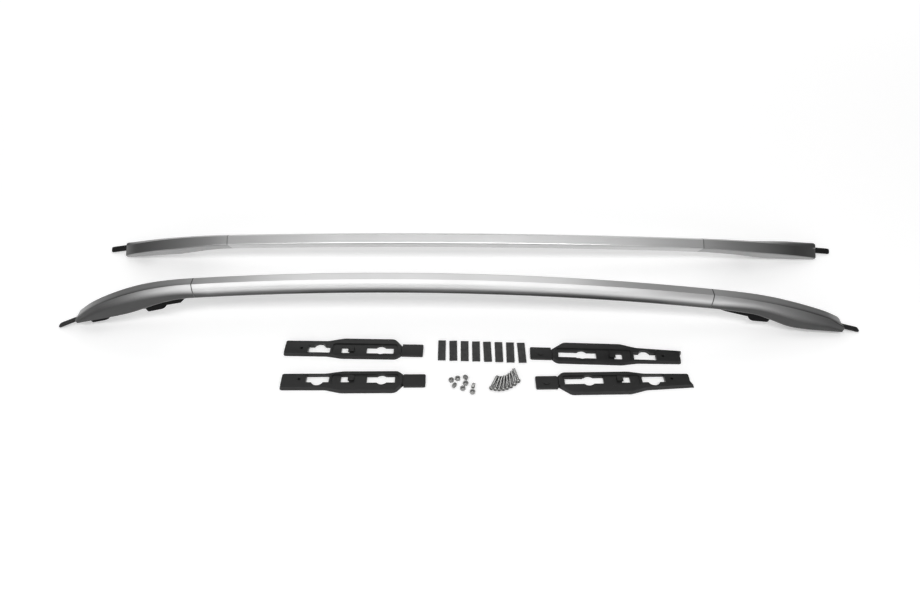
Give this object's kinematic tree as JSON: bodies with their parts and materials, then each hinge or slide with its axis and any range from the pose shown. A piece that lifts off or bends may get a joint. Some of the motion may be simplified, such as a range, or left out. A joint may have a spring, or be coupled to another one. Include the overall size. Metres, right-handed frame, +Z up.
{
  "type": "roof side rail pair",
  "caption": "Pair of silver vehicle roof side rails with arched bars and sloping end caps, laid out with base pads, foam strips, bolts and nuts.",
  "frame": {"origin": "middle of the whole set's footprint, on the floor that everything lies on", "axes": "+X along the rails towards their rear ends, +Y away from the viewer towards the right-hand rail, +Z up"},
  "size_m": [1.7694, 0.4466, 0.1463],
  "materials": {
    "bar_aluminium": "satin anodised",
    "cap_paint": "satin metallic silver paint",
    "bracket_black": "satin black coat",
    "spigot_aluminium": "plain",
    "tab_black": "fine moulded grain",
    "screw_steel": "zinc",
    "pad_black": "soft moulded black",
    "strip_foam": "closed-cell foam",
    "bolt_zinc": "bright zinc"
  },
  "bodies": {
    "root": {"left_bar": "bar_aluminium", "left_front_cap": "cap_paint", "left_rear_cap": "cap_paint", "left_front_bracket": "bracket_black", "left_rear_bracket": "bracket_black", "left_front_spigot": "spigot_aluminium", "left_rear_spigot": "spigot_aluminium", "left_front_tab": "tab_black", "left_rear_tab": "tab_black", "left_joint_screws": "screw_steel", "left_cap_screws": "screw_steel", "right_bar": "bar_aluminium", "right_front_cap": "cap_paint", "right_rear_cap": "cap_paint", "right_front_bracket": "bracket_black", "right_rear_bracket": "bracket_black", "right_front_spigot": "spigot_aluminium", "right_rear_spigot": "spigot_aluminium", "right_front_tab": "tab_black", "right_rear_tab": "tab_black", "right_joint_screws": "screw_steel", "right_cap_screws": "screw_steel", "left_front_pad": "pad_black", "right_front_pad": "pad_black", "left_rear_pad": "pad_black", "right_rear_pad": "pad_black", "foam_strip_1": "strip_foam", "foam_strip_2": "strip_foam", "foam_strip_3": "strip_foam", "foam_strip_4": "strip_foam", "foam_strip_5": "strip_foam", "foam_strip_6": "strip_foam", "foam_strip_7": "strip_foam", "foam_strip_8": "strip_foam", "mounting_bolts": "bolt_zinc", "mounting_nuts": "bolt_zinc"}
  },
  "joints": []
}
